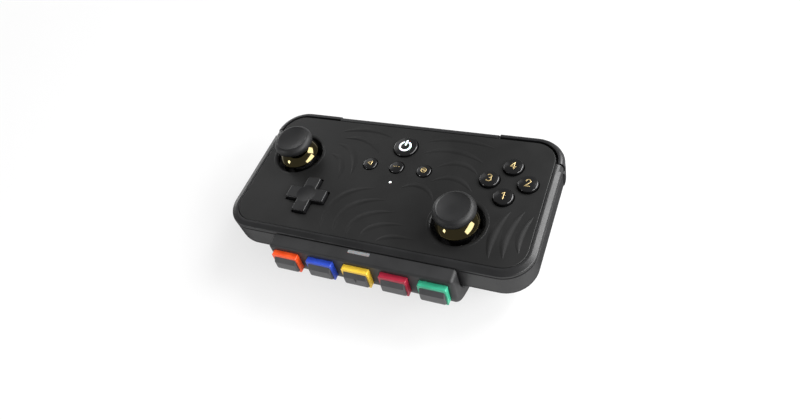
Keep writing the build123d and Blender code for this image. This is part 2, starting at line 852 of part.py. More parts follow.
face_stem = board_depth - pad_thickness - pad_dome_height - face_button_travel - travel_gap
switch_stem = board_depth - switch_height - plunger_height - switch_travel - travel_gap
face_size = (face_button_r, face_button_proud, face_button_crown)
small_size = (small_button_r, small_button_proud, small_button_crown)
home_size = (home_button_r, home_button_proud, home_button_crown)
for name, place in face_places.items():
    round_button(f"face_button_{name}", place, face_size, face_stem)
for name, place in small_places.items():
    round_button(f"centre_button_{name}", place, small_size, switch_stem)
round_button("home_button", home_place, home_size, switch_stem)

# Tact switches under the centre buttons and the home button
with BuildPart() as centre_switches:
    with BuildSketch(Plane.XY.offset(board_top)):
        with Locations(*switch_places):
            Rectangle(switch_size, switch_size)
    extrude(amount=switch_height)
    with BuildSketch(Plane.XY.offset(board_top + switch_height)):
        with Locations(*switch_places):
            Circle(plunger_r)
    extrude(amount=plunger_height)
finish(centre_switches, "centre_switches")

# Light pipe of the status light
with BuildPart() as light_pipe:
    with BuildSketch(Plane.XY.offset(board_top)):
        Circle(led_r)
    extrude(amount=board_depth)
    fillet(light_pipe.edges().sort_by(Axis.Z)[-1], led_edge_r)
finish(light_pipe, "status_light_pipe")

# Tact switches behind the bumpers and triggers, each pair on an upright riser board
with BuildPart() as shoulder_switches:
    for side in (1, -1):
        with BuildSketch(Plane.XY.offset(board_top)):
            with Locations((side * trigger_bump_x, riser_y)):
                Rectangle(riser_width, riser_thickness, align=(Align.CENTER, Align.MIN))
        extrude(amount=board_depth - bumper_switch_depth + switch_height)
        for depth in (bumper_switch_depth, trigger_switch_depth):
            with BuildSketch(Plane.XZ.offset(-riser_y - riser_thickness)):
                with Locations((side * trigger_bump_x, face_z - depth)):
                    Rectangle(side_switch_width, side_switch_height)
            extrude(amount=-side_switch_depth)
            with BuildSketch(Plane.XZ.offset(-riser_y - riser_thickness - side_switch_depth)):
                with Locations((side * trigger_bump_x, face_z - depth)):
                    Circle(side_plunger_r)
            extrude(amount=-side_plunger)
finish(shoulder_switches, "shoulder_switches")

# Pins that the bumpers and triggers turn on
with BuildPart() as shoulder_pins:
    with BuildSketch(Plane.XY.offset(floor_z)):
        with Locations(*pin_places):
            Circle(pin_r)
    extrude(amount=ledge_bottom + pin_socket - pin_tip_gap - floor_z)
finish(shoulder_pins, "shoulder_pins")

# Right bumper: corner band with a rounded top edge, and a web under the ledge with its eye
bumper_top = face_z - bumper_top_depth
bumper_bottom = bumper_top - bumper_height
with BuildPart() as right_bumper:
    with BuildSketch(Plane.XY.offset(bumper_top)):
        outline(-bumper_proud)
    extrude(amount=-bumper_height)
    fillet(right_bumper.faces().sort_by(Axis.Z)[-1].edges(), bumper_fillet)
    with BuildSketch(Plane.XY.offset(bumper_top)):
        outline(bumper_inner)
    extrude(amount=-bumper_height, mode=Mode.SUBTRACT)
    with BuildSketch(Plane.XY.offset(bumper_top)):
        with Locations((shoulder_x, shoulder_y)):
            Rectangle(body_length, body_height, align=(Align.MIN, Align.MIN))
    extrude(amount=-bumper_height, mode=Mode.INTERSECT)
    with BuildSketch(Plane.XY.offset(face_z - bumper_web_depth)):
        outline(bumper_inner)
        outline(web_reach, mode=Mode.SUBTRACT)
        with Locations((shoulder_x, pin_places[0][1])):
            Rectangle(body_length, body_height, align=(Align.MIN, Align.MIN), mode=Mode.INTERSECT)
        with Locations(pin_places[0]):
            Circle(eye_r)
            Circle(pin_r + shaft_gap, mode=Mode.SUBTRACT)
    extrude(amount=bumper_bottom - face_z + bumper_web_depth)
finish(right_bumper, "right_bumper")

with BuildPart() as left_bumper:
    mirror(right_bumper.part, about=Plane.YZ)
finish(left_bumper, "left_bumper")

# Right trigger: fuller band that stands proud of the shell, with its eye and switch bump
trigger_top = face_z - trigger_top_depth
with BuildPart() as right_trigger:
    with BuildSketch(Plane.XY.offset(trigger_top)):
        outline(-trigger_proud)
    extrude(amount=-trigger_height)
    fillet(right_trigger.faces().sort_by(Axis.Z)[-1].edges(), trigger_top_fillet)
    fillet(right_trigger.faces().sort_by(Axis.Z)[0].edges(), trigger_bottom_fillet)
    with BuildSketch(Plane.XY.offset(trigger_top)):
        outline(trigger_inner)
    extrude(amount=-trigger_height, mode=Mode.SUBTRACT)
    with BuildSketch(Plane.XY.offset(trigger_top)):
        with Locations((shoulder_x, shoulder_y - trigger_side_reach)):
            Rectangle(body_length, body_height, align=(Align.MIN, Align.MIN))
    extrude(amount=-trigger_height, mode=Mode.INTERSECT)
    with BuildSketch(Plane.XY.offset(trigger_top)):
        outline(trigger_inner)
        outline(web_reach, mode=Mode.SUBTRACT)
        with Locations((pin_places[0][0] - eye_r, shoulder_y - trigger_side_reach)):
            Rectangle(2 * eye_r + pin_inset, 2 * eye_r, align=(Align.MIN, Align.MIN), mode=Mode.INTERSECT)
        with Locations(pin_places[0]):
            Circle(eye_r)
            Circle(pin_r + shaft_gap, mode=Mode.SUBTRACT)
    extrude(amount=-trigger_height)
    with BuildSketch(Plane.XY.offset(face_z - trigger_switch_depth + side_switch_height / 2)):
        with Locations((trigger_bump_x, half_height - trigger_web_reach)):
            Rectangle(trigger_bump_width, trigger_bump_length, align=(Align.CENTER, Align.MIN))
    extrude(amount=-side_switch_height)
finish(right_trigger, "right_trigger")

with BuildPart() as left_trigger:
    mirror(right_trigger.part, about=Plane.YZ)
finish(left_trigger, "left_trigger")


def screws(name, places, head_z, tip_z):
    """Group of pan-head screws driven up from head_z, each with a crossed drive."""
    with BuildPart() as group:
        with BuildSketch(Plane.XY.offset(head_z)):
            with Locations(*places):
                Circle(screw_head_r)
        extrude(amount=-screw_head_height)
        with BuildSketch(Plane.XY.offset(head_z)):
            with Locations(*places):
                Circle(screw_r)
        extrude(amount=tip_z - head_z)
        with BuildSketch(Plane.XY.offset(head_z - screw_head_height)):
            with Locations(*places):
                cross(screw_drive_r, screw_drive_width)
        extrude(amount=screw_drive_depth, mode=Mode.SUBTRACT)
    finish(group, name)


screws("shell_screws", boss_places, back_z + counterbore_depth, face_z - screw_reach)


def grip_section(x, inset):
    """Upright section of the grip at x: block before the gamepad, and belly and tail under it.

    The front leans out on its way down. The nose is the circle that touches the front and, from
    inside, the circle of the belly.
    """
    front_top = Vector(grip_front_y, grip_top)
    down = Vector(-grip_lean, -1).normalized()
    belly_centre = Vector(-land_front, land_z + belly_r)
    start = front_top + Vector(-down.Y, down.X) * nose_r - belly_centre
    drop = sqrt(start.dot(down) ** 2 - start.dot(start) + (belly_r - nose_r) ** 2) - start.dot(down)
    nose_centre = belly_centre + start + down * drop
    meet = belly_centre + (nose_centre - belly_centre).normalized() * belly_r
    corner_r = back_fillet + grip_gap
    with BuildSketch(Plane.YZ.offset(x)) as section:
        with BuildLine():
            Line((grip_back_y, grip_top), front_top)
            Line(front_top, front_top + down * drop)
            nose = TangentArc(front_top + down * drop, meet, tangent=down)
            TangentArc(meet, (-land_front, land_z), tangent=nose % 1)
            Line((-land_front, land_z), (land_back, land_z))
            TangentArc((land_back, land_z), (tail_back, grip_plate_z), tangent=(1, 0))
            Line((tail_back, grip_plate_z), (grip_back_y + corner_r, grip_plate_z))
            TangentArc(
                (grip_back_y + corner_r, grip_plate_z),
                (grip_back_y, grip_plate_z + corner_r),
                tangent=(-1, 0),
            )
            Line((grip_back_y, grip_plate_z + corner_r), (grip_back_y, grip_top))
        make_face()
        if inset:
            offset(amount=-inset, kind=Kind.INTERSECTION, mode=Mode.REPLACE)
    return section.sketch


# Whole outside of the grip, and the hollow inside it
with BuildPart() as grip_blank:
    extrude(grip_section(-grip_half, 0), amount=grip_length)
    fillet(grip_blank.edges().filter_by(Axis.X).group_by(Axis.Z)[-1].sort_by(Axis.Y)[0], grip_edge_r)
    fillet(grip_blank.faces().sort_by(Axis.X)[-1].edges(), grip_end_r)
    fillet(grip_blank.faces().sort_by(Axis.X)[0].edges(), grip_end_r)

with BuildPart() as grip_hollow:
    extrude(grip_section(grip_wall - grip_half, grip_wall), amount=grip_length - 2 * grip_wall)

# Upper shell of the grip: block with five key slots, plate under the gamepad, T rails
with BuildPart() as grip_shell:
    add(grip_blank.part)
    add(grip_hollow.part, mode=Mode.SUBTRACT)
    split(bisect_by=Plane.XY.offset(cover_top), keep=Keep.TOP)
    with BuildSketch(Plane.XZ.offset(-fret_front_y)):
        with Locations(*[(x, fret_middle) for x in fret_places.values()]):
            Rectangle(fret_width + 2 * fret_gap, fret_height + 2 * fret_gap)
    extrude(amount=fret_front_y - fret_back_y - fret_travel - fret_gap, mode=Mode.SUBTRACT)
    with BuildSketch(Plane.XY.offset(grip_top)):
        with Locations((0, light_bar_y)):
            RectangleRounded(light_bar_length, light_bar_width, light_bar_corner_r)
    extrude(amount=-light_bar_depth, mode=Mode.SUBTRACT)
    with BuildSketch(Plane.XY.offset(cover_top)):
        with Locations(*grip_screw_places):
            Circle(grip_boss_r)
    extrude(amount=grip_plate_z - grip_wall - cover_top)
    with BuildSketch(Plane.XY.offset(cover_top)):
        with Locations(*grip_screw_places):
            Circle(screw_r)
    extrude(amount=grip_plate_z - grip_wall / 2 - cover_top, mode=Mode.SUBTRACT)
    with BuildSketch(Plane.XZ.offset(-rail_back + rail_end_gap)):
        for side in (1, -1):
            with Locations((side * rail_x, grip_plate_z)):
                Rectangle(rail_neck, rail_head_z - grip_plate_z, align=(Align.CENTER, Align.MIN))
            with Locations((side * rail_x, rail_head_z)):
                Rectangle(rail_head, rail_head_height, align=(Align.CENTER, Align.MIN))
    extrude(amount=rail_length)
finish(grip_shell, "grip_shell")

# Lower cover of the grip, with screw posts and a bed for the tread
with BuildPart() as grip_cover:
    add(grip_blank.part)
    add(grip_hollow.part, mode=Mode.SUBTRACT)
    split(bisect_by=Plane.XY.offset(cover_top), keep=Keep.BOTTOM)
    with BuildSketch(Plane.XY.offset(land_z)):
        with Locations(*grip_screw_places):
            Circle(grip_post_r)
    extrude(amount=cover_top - land_z)
    with BuildSketch(Plane.XY.offset(land_z)):
        with Locations(*grip_screw_places):
            Circle(screw_clear_r)
    extrude(amount=cover_top - land_z, mode=Mode.SUBTRACT)
    with BuildSketch(Plane.XY.offset(land_z)):
        with Locations(*grip_screw_places):
            Circle(counterbore_r)
    extrude(amount=counterbore_depth, mode=Mode.SUBTRACT)
    with BuildSketch(Plane.XY.offset(land_z)):
        with Locations((0, (tread_back - tread_front) / 2)):
            RectangleRounded(tread_length, tread_front + tread_back, tread_corner_r)
    extrude(amount=tread_thickness - tread_proud, mode=Mode.SUBTRACT)
finish(grip_cover, "grip_cover")

# Rubber tread that the whole thing rests on
with BuildPart() as grip_tread:
    with BuildSketch(Plane.XY):
        with Locations((0, (tread_back - tread_front) / 2)):
            RectangleRounded(tread_length, tread_front + tread_back, tread_corner_r)
    extrude(amount=tread_thickness)
finish(grip_tread, "grip_tread")

screws("grip_screws", grip_screw_places, land_z + counterbore_depth, grip_plate_z - grip_wall)

# Light bar on top of the grip
with BuildPart() as light_bar:
    with BuildSketch(Plane.XY.offset(grip_top)):
        with Locations((0, light_bar_y)):
            RectangleRounded(light_bar_length, light_bar_width, light_bar_corner_r)
    extrude(amount=-light_bar_depth)
finish(light_bar, "light_bar")

# Fret board against the block's back wall, and its rubber dome sheet
with BuildPart() as fret_board:
    with BuildSketch(Plane.XZ.offset(-board_y)):
        with Locations((0, fret_middle)):
            Rectangle(fret_board_length, fret_board_height)
    extrude(amount=fret_board_thickness)
finish(fret_board, "fret_board")

with BuildPart() as fret_sheet:
    with BuildSketch(Plane.XZ.offset(-sheet_y)):
        with Locations((0, fret_middle)):
            Rectangle(fret_board_length, fret_board_height)
    extrude(amount=fret_sheet_thickness)
    with BuildSketch(Plane.XZ.offset(-sheet_y + fret_sheet_thickness)):
        with Locations(*[(x, fret_middle) for x in fret_places.values()]):
            Circle(fret_dome_r)
    extrude(amount=fret_dome_height)
finish(fret_sheet, "fret_dome_sheet")


def fret_front(z, proud):
    """Place in the key's leaning front at height z, moved forwards by proud."""
    return (fret_front_y - grip_lean * (fret_top - z) - proud, z)


def fret_pad(name, x):
    """Dark pad whose front slopes out, runs down along the key's lean and curves back at its foot."""
    back_y = fret_front_y + fret_pad_depth
    top = fret_top - fret_rim
    bottom = fret_bottom + fret_pad_rise
    foot_start = fret_front(bottom + fret_pad_foot_r, fret_pad_proud)
    foot_end = (foot_start[0] + fret_pad_foot_r, bottom)
    with BuildPart() as pad:
        with BuildSketch(Plane.YZ.offset(x - fret_width / 2 + fret_rim)):
            with BuildLine():
                Polyline(
                    (back_y, top),
                    fret_front(top, -fret_pad_sink),
                    fret_front(top - fret_pad_slope, fret_pad_proud),
                    foot_start,
                )
                TangentArc(foot_start, foot_end, tangent=(-grip_lean, -1))
                Polyline(foot_end, (back_y, bottom), (back_y, top))
            make_face()
        extrude(amount=fret_width - 2 * fret_rim)
        for end in (pad.faces().sort_by(Axis.X)[-1], pad.faces().sort_by(Axis.X)[0]):
            fillet(end.edges().filter_by(lambda edge: (edge @ 0.5).Y < fret_front_y), fret_pad_edge_r)
        if name == "yellow":
            front_y = fret_front(fret_middle, fret_pad_proud)[0]
            with BuildSketch(Plane.XZ.offset(nub_height - front_y)):
                with Locations((x, fret_middle)):
                    SlotOverall(nub_length, nub_width, rotation=90)
            extrude(amount=-nub_height - nub_root)
    finish(pad, f"fret_pad_{name}")
    return pad


def fret_key(name, x, pad):
    """Coloured key body with a flange behind the grip's front wall and a pocket for its pad."""
    with BuildPart() as key:
        with BuildSketch(Plane.YZ.offset(x - fret_width / 2)):
            with BuildLine():
                Polyline(
                    (fret_back_y, fret_bottom),
                    (fret_back_y, fret_top),
                    fret_front(fret_top, 0),
                    fret_front(fret_bottom, 0),
                    (fret_back_y, fret_bottom),
                )
            make_face()
        extrude(amount=fret_width)
        fillet(key.edges().filter_by(Axis.Y), fret_edge_r)
        with BuildSketch(Plane.XZ.offset(-fret_back_y)):
            with Locations((x, fret_bottom + fret_flange_rise)):
                Rectangle(
                    fret_width + 2 * fret_flange,
                    fret_height - fret_flange_rise + fret_flange,
                    align=(Align.CENTER, Align.MIN),
                )
        extrude(amount=fret_flange_thickness)
        add(pad.part, mode=Mode.SUBTRACT)
    finish(key, f"fret_key_{name}")


for name, x in fret_places.items():
    fret_key(name, x, fret_pad(name, x))
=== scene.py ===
import bpy
import numpy as np
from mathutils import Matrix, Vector


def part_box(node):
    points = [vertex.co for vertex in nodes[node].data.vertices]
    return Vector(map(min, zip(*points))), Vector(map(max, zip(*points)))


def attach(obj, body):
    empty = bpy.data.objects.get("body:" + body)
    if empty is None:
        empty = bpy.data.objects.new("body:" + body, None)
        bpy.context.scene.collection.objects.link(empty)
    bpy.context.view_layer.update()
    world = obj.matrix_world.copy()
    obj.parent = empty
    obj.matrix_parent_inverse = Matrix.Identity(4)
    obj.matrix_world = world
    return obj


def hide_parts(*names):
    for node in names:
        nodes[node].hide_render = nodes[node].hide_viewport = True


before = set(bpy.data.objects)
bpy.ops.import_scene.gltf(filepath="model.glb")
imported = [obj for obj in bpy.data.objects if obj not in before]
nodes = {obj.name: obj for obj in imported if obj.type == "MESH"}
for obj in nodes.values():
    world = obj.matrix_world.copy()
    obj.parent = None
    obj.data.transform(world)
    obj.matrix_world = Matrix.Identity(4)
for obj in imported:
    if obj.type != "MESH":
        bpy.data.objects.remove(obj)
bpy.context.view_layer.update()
mm = 0.001
print("frame loaded:", len(nodes), "nodes")


def toLinear(hexColour):
    # sRGB hex value to linear red, green, blue and alpha
    channels = [int(hexColour[i:i + 2], 16) / 255 for i in (1, 3, 5)]
    return [c / 12.92 if c <= 0.04045 else ((c + 0.055) / 1.055) ** 2.4 for c in channels] + [1.0]


def addNode(tree, kind, settings=None, links=None):
    # adds one node: a setting goes to the input socket of that name or number, or else to the node's
    # property, and each link joins an output to an input
    node = tree.nodes.new(kind)
    for name, value in (settings or {}).items():
        if isinstance(name, int) or name in node.inputs:
            node.inputs[name].default_value = value
        else:
            setattr(node, name, value)
    for name, output in (links or {}).items():
        tree.links.new(output, node.inputs[name])
    return node


def newMaterial(name, settings):
    # empty material with a Principled shader that has these settings
    material = bpy.data.materials.new(name)
    material.use_nodes = True
    tree = material.node_tree
    tree.nodes.clear()
    shader = addNode(tree, "ShaderNodeBsdfPrincipled", settings)
    addNode(tree, "ShaderNodeOutputMaterial", links={"Surface": shader.outputs[0]})
    return material, tree, shader


# What all moulded surfaces share: noise keeps to the middle of its range, so clouds are spread from
# there, and the bevel node is sampled enough to stay smooth
moulding = {"grainDetail": 3.0, "cloudDetail": 2.0, "cloudFrom": 0.35, "cloudTo": 0.65, "bevelSamples": 6}


def grainBump(tree, shader, look):
    # fine grain of the mould or the rubber; edgeMm rounds the sharp edges of a CAD solid
    place = addNode(tree, "ShaderNodeTexCoord").outputs["Object"]
    noise = addNode(tree, "ShaderNodeTexNoise", {
        "Scale": 1 / (look["grainMm"] * mm), "Detail": moulding["grainDetail"]}, {"Vector": place})
    edge = addNode(tree, "ShaderNodeBevel", {
        "samples": moulding["bevelSamples"], "Radius": look["edgeMm"] * mm})
    bump = addNode(tree, "ShaderNodeBump", {"Distance": look["depthMm"] * mm, "Strength": 1.0}, {
        "Height": noise.outputs[0], "Normal": edge.outputs[0]})
    tree.links.new(bump.outputs[0], shader.inputs["Normal"])
    return place


def cloudedColour(tree, shader, place, look):
    # colour and roughness drift together over wide soft clouds, as handled plastic does
    cloud = addNode(tree, "ShaderNodeTexNoise", {
        "Scale": 1 / (look["cloudMm"] * mm), "Detail": moulding["cloudDetail"]}, {"Vector": place})
    spread = addNode(tree, "ShaderNodeMapRange", {
        "From Min": moulding["cloudFrom"], "From Max": moulding["cloudTo"]}, {"Value": cloud.outputs[0]})
    dark, light = look["colours"]
    colour = addNode(tree, "ShaderNodeMix", {
        "data_type": "RGBA", 6: toLinear(dark), 7: toLinear(light)}, {0: spread.outputs[0]})
    rough = addNode(tree, "ShaderNodeMapRange", {"To Min": look["rough"][0], "To Max": look["rough"][1]},
                    {"Value": spread.outputs[0]})
    tree.links.new(colour.outputs[2], shader.inputs["Base Color"])
    tree.links.new(rough.outputs[0], shader.inputs["Roughness"])


def dullAtGrazing(tree, shader, specular, graze):
    # a coarse grain hides part of its own gloss when it is seen along the surface: past a facing
    # value the gloss grows rougher and weaker
    facing = addNode(tree, "ShaderNodeLayerWeight", {"Blend": 0.5}).outputs["Facing"]
    share = addNode(tree, "ShaderNodeMapRange", {"From Min": graze["from"], "From Max": graze["to"]},
                    {"Value": facing})
    rough = addNode(tree, "ShaderNodeMix", {"data_type": "FLOAT", 3: graze["rough"]}, {
        0: share.outputs[0], 2: shader.inputs["Roughness"].links[0].from_socket})
    level = addNode(tree, "ShaderNodeMapRange", {"To Min": specular, "To Max": graze["specular"]},
                    {"Value": share.outputs[0]})
    tree.links.new(rough.outputs[0], shader.inputs["Roughness"])
    tree.links.new(level.outputs[0], shader.inputs["Specular IOR Level"])


def mouldedPlastic(name, look):
    # injection-moulded plastic: clouded colour, mould grain and softened edges
    material, tree, shader = newMaterial(name, {"IOR": look["ior"], "Specular IOR Level": look["specular"]})
    place = grainBump(tree, shader, look)
    cloudedColour(tree, shader, place, look)
    if "graze" in look:
        dullAtGrazing(tree, shader, look["specular"], look["graze"])
    return material


# Where the gloss of the black shell begins to fade, where it is faded, and what is left of it
grazing = {"from": 0.55, "to": 0.88, "rough": 0.75, "specular": 0.08}
# Spark-eroded ABS: satin black with a grain that keeps highlights broad. The real grain is about
# 0.05 mm, drawn at 0.25 mm so that it shows, and the grains below are coarser than life for the
# same cause.
shellAbs = mouldedPlastic("sparkErodedAbs", {
    "ior": 1.46, "specular": 0.5, "grainMm": 0.25, "depthMm": 0.006, "edgeMm": 0.12,
    "cloudMm": 14, "colours": ("#151516", "#19191A"), "rough": (0.38, 0.44), "graze": grazing})
# Same ABS from a finer mould: the faceplate is a touch darker than its rim, with a duller sheen
plateAbs = mouldedPlastic("fineSatinAbs", {
    "ior": 1.46, "specular": 0.40, "grainMm": 0.2, "depthMm": 0.003, "edgeMm": 0.12,
    "cloudMm": 18, "colours": ("#131313", "#171717"), "rough": (0.40, 0.46)})
# Shoulder keys: satin ABS from a finer mould than the shell, so a little glossier
shoulderAbs = mouldedPlastic("satinAbsKeys", {
    "ior": 1.46, "specular": 0.5, "grainMm": 0.2, "depthMm": 0.003, "edgeMm": 0.15,
    "cloudMm": 9, "colours": ("#141415", "#18181A"), "rough": (0.30, 0.38), "graze": grazing})
# Grip: coarser grain than the gamepad, so it looks a shade greyer
gripAbs = mouldedPlastic("texturedAbsGrip", {
    "ior": 1.46, "specular": 0.5, "grainMm": 0.35, "depthMm": 0.012, "edgeMm": 0.15,
    "cloudMm": 12, "colours": ("#1E1E1F", "#232324"), "rough": (0.48, 0.56)})
# Fret pads: textured ABS inlay, dark grey with a broad sheen inside the coloured rim
padAbs = mouldedPlastic("texturedAbsInlay", {
    "ior": 1.46, "specular": 1.0, "grainMm": 0.3, "depthMm": 0.010, "edgeMm": 0.12,
    "cloudMm": 6, "colours": ("#303032", "#373739"), "rough": (0.38, 0.46)})
# Direction pad: satin ABS, a little glossier than the plate round it
dpadAbs = mouldedPlastic("satinAbsPad", {
    "ior": 1.46, "specular": 0.5, "grainMm": 0.2, "depthMm": 0.002, "edgeMm": 0.15,
    "cloudMm": 5, "colours": ("#121213", "#161617"), "rough": (0.30, 0.36)})
# Stick caps: moulded thermoplastic rubber, matte with a soft sheen at grazing angles
capRubber = mouldedPlastic("mouldedTpeRubber", {
    "ior": 1.5, "specular": 0.38, "grainMm": 0.3, "depthMm": 0.010, "edgeMm": 0.1,
    "cloudMm": 6, "colours": ("#121213", "#161617"), "rough": (0.48, 0.56)})
# Tread: silicone rubber from a blasted mould, the dullest surface of all
treadRubber = mouldedPlastic("mouldedSiliconeTread", {
    "ior": 1.41, "specular": 0.5, "grainMm": 0.3, "depthMm": 0.012, "edgeMm": 0.1,
    "cloudMm": 8, "colours": ("#202020", "#272727"), "rough": (0.6, 0.7)})
# Dome sheets under the keys: grey silicone, waxy rather than shiny
domeSilicone = mouldedPlastic("mouldedSiliconeSheet", {
    "ior": 1.41, "specular": 0.5, "grainMm": 0.4, "depthMm": 0.006, "edgeMm": 0.1,
    "cloudMm": 7, "colours": ("#8C9092", "#989C9E"), "rough": (0.45, 0.55)})
# Stick modules and posts: glass-filled nylon, whose fibres dull its black
blackNylon = mouldedPlastic("glassFilledNylon", {
    "ior": 1.53, "specular": 0.5, "grainMm": 0.3, "depthMm": 0.01, "edgeMm": 0.1,
    "cloudMm": 5, "colours": ("#101010", "#161616"), "rough": (0.5, 0.6)})
# Black solder mask over copper: its gloss is broken by the tracks below it
solderMask = mouldedPlastic("solderMaskOnFr4", {
    "ior": 1.5, "specular": 0.5, "grainMm": 1.2, "depthMm": 0.01, "edgeMm": 0.05,
    "cloudMm": 3, "colours": ("#0C0D0D", "#131414"), "rough": (0.25, 0.4)})
# Fret keys: pigmented ABS, saturated and evenly satin
fretColours = {
    "orange": ("#F04C16", "#FA5A22"), "blue": ("#2240B4", "#2A4CC2"), "yellow": ("#E8BC34", "#F0C83E"),
    "red": ("#9A1A32", "#A8203A"), "green": ("#2C9C78", "#38AC88")}
fretAbs = {
    name: mouldedPlastic("pigmentedAbs_" + name, {
        "ior": 1.53, "specular": 0.5, "grainMm": 0.25, "depthMm": 0.004, "edgeMm": 0.15,
        "cloudMm": 5, "colours": colours, "rough": (0.34, 0.42)})
    for name, colours in fretColours.items()}


def polishedPlastic(name, look):
    # polished moulding: deep colour under a clear lacquer with very faint hairlines in its gloss
    material, tree, shader = newMaterial(name, {
        "Base Color": toLinear(look["colour"]), "IOR": look["ior"], "Coat Weight": look["coat"],
        "Coat Roughness": look["coatRough"]})
    place = addNode(tree, "ShaderNodeTexCoord").outputs["Object"]
    stretch = addNode(tree, "ShaderNodeMapping", {
        "Scale": look["stretch"], "Rotation": (0, 0, look["turn"])}, {"Vector": place})
    hairline = addNode(tree, "ShaderNodeTexNoise", {
        "Scale": 1 / (look["hairlineMm"] * mm), "Detail": look["detail"]}, {"Vector": stretch.outputs[0]})
    rough = addNode(tree, "ShaderNodeMapRange", {
        "From Min": look["spread"][0], "From Max": look["spread"][1],
        "To Min": look["rough"][0], "To Max": look["rough"][1]}, {"Value": hairline.outputs[0]})
    tree.links.new(rough.outputs[0], shader.inputs["Roughness"])
    return material


# Piano-black ABS of the round buttons: near black, sharp highlights. Real hairlines are some
# 0.03 mm wide, drawn at about 0.13 mm, 1.2 mm long.
pianoAbs = polishedPlastic("polishedBlackAbs", {
    "colour": "#0B0B0C", "ior": 1.5, "coat": 0.15, "coatRough": 0.10, "hairlineMm": 1.2,
    "stretch": (1, 9, 9), "turn": 0.6, "detail": 4.0, "spread": (0.4, 0.75), "rough": (0.18, 0.26)})


def platedMetal(name, look):
    # metal surface, drawn or plated: colour and roughness vary together over spots or streaks
    material, tree, shader = newMaterial(name, {"Metallic": 1.0})
    place = addNode(tree, "ShaderNodeTexCoord").outputs["Object"]
    lines = addNode(tree, "ShaderNodeMapping", {"Scale": look["stretch"]}, {"Vector": place})
    noise = addNode(tree, "ShaderNodeTexNoise", {
        "Scale": 1 / (look["lineMm"] * mm), "Detail": moulding["grainDetail"]}, {"Vector": lines.outputs[0]})
    rough = addNode(tree, "ShaderNodeMapRange", {"To Min": look["rough"][0], "To Max": look["rough"][1]},
                    {"Value": noise.outputs[0]})
    dark, light = look["colours"]
    tint = addNode(tree, "ShaderNodeMix", {
        "data_type": "RGBA", 6: toLinear(dark), 7: toLinear(light)}, {0: noise.outputs[0]})
    tree.links.new(rough.outputs[0], shader.inputs["Roughness"])
    tree.links.new(tint.outputs[2], shader.inputs["Base Color"])
    return material


# Vacuum-metallised ABS of the stick skirts: dark gold mirror
goldPlate = platedMetal("vacuumMetallisedGold", {
    "stretch": (1, 1, 1), "lineMm": 4, "rough": (0.04, 0.08), "colours": ("#4F4832", "#595138")})
# Hot-stamped foil of the numerals: thin gold, duller than the skirts
goldFoil = platedMetal("hotStampedGoldFoil", {
    "stretch": (1, 1, 1), "lineMm": 0.5, "rough": (0.38, 0.48), "colours": ("#D8BE84", "#E8D29C")})
# Pins, yokes, cans and sockets: drawn steel plated with nickel, streaked along its length
nickelSteel = platedMetal("nickelPlatedSteel", {
    "stretch": (1, 6, 1), "lineMm": 0.8, "rough": (0.22, 0.34), "colours": ("#8E8E8C", "#A2A2A0")})
# Screws: steel with a black oxide skin, dark with a dull sparkle
blackScrew = platedMetal("blackOxideSteel", {
    "stretch": (1, 1, 1), "lineMm": 0.6, "rough": (0.35, 0.5), "colours": ("#2B2B2D", "#3A3A3C")})
# Battery pouch: laminated aluminium foil, soft uneven silver
pouchFoil = platedMetal("laminatedPouchFoil", {
    "stretch": (1, 1, 1), "lineMm": 3, "rough": (0.3, 0.45), "colours": ("#9A9CA0", "#B0B2B6")})

# What the glowing surfaces share, the lamp-lit ones and the ink with a painted glow: part of the light
# scatters about a millimetre deep
milky = {"ior": 1.58, "rough": 0.35, "scatter": 0.3, "scatterMm": 1.0, "cloudMm": 2.5}


def litAndPaintedGlowDiffuser(name, look):
    # milky polycarbonate with the lamp behind it, or ink over it that is given a painted glow with no lamp
    # behind it: its colour and its glow drift together over soft clouds
    material, tree, shader = newMaterial(name, {
        "Roughness": milky["rough"], "IOR": milky["ior"], "Subsurface Weight": milky["scatter"],
        "Subsurface Scale": milky["scatterMm"] * mm, "Emission Strength": look["glow"]})
    place = addNode(tree, "ShaderNodeTexCoord").outputs["Object"]
    cloud = addNode(tree, "ShaderNodeTexNoise", {"Scale": 1 / (milky["cloudMm"] * mm)}, {"Vector": place})
    dark, light = look["colours"]
    tint = addNode(tree, "ShaderNodeMix", {
        "data_type": "RGBA", 6: toLinear(dark), 7: toLinear(light)}, {0: cloud.outputs[0]})
    tree.links.new(tint.outputs[2], shader.inputs["Base Color"])
    tree.links.new(tint.outputs[2], shader.inputs["Emission Color"])
    return material


# Home symbol: white pad-printed ink with a painted glow, as if lit from behind, though no lamp is there
whiteInkPaintedGlow = litAndPaintedGlowDiffuser("padPrintedWhiteInkPaintedGlow", {"glow": 0.25, "colours": ("#F2F2F2", "#FCFCFC")})
# Status light: clear-white end of a light pipe, switched on
statusLight = litAndPaintedGlowDiffuser("litPolycarbonateDot", {"glow": 0.9, "colours": ("#F4F6F8", "#FFFFFF")})
# Light bar: milky diffuser, switched off, so it shows as plain grey
barDiffuser = litAndPaintedGlowDiffuser("milkyPolycarbonateBar", {"glow": 0.0, "colours": ("#78787A", "#848486")})

materialOf = {
    "faceplate": plateAbs, "front_frame": shellAbs, "back_shell": shellAbs, "main_board": solderMask,
    "battery": pouchFoil, "usb_socket": nickelSteel, "status_light_pipe": statusLight,
    "face_button_dome_pad": domeSilicone, "dpad_dome_pad": domeSilicone, "dpad_pivot_post": blackNylon,
    "centre_switches": nickelSteel, "shoulder_switches": nickelSteel, "left_vibration_motor": nickelSteel,
    "right_vibration_motor": nickelSteel, "shell_screws": blackScrew, "shoulder_pins": nickelSteel,
    "grip_shell": gripAbs, "grip_cover": gripAbs, "grip_tread": treadRubber, "grip_screws": blackScrew,
    "light_bar": barDiffuser, "fret_board": solderMask, "fret_dome_sheet": domeSilicone,
    "dpad_pivot_ball": nickelSteel, "dpad": dpadAbs, "home_button": pianoAbs}
for place in ("top", "right", "bottom", "left"):
    materialOf["face_button_" + place] = pianoAbs
for place in ("left", "middle", "right"):
    materialOf["centre_button_" + place] = pianoAbs
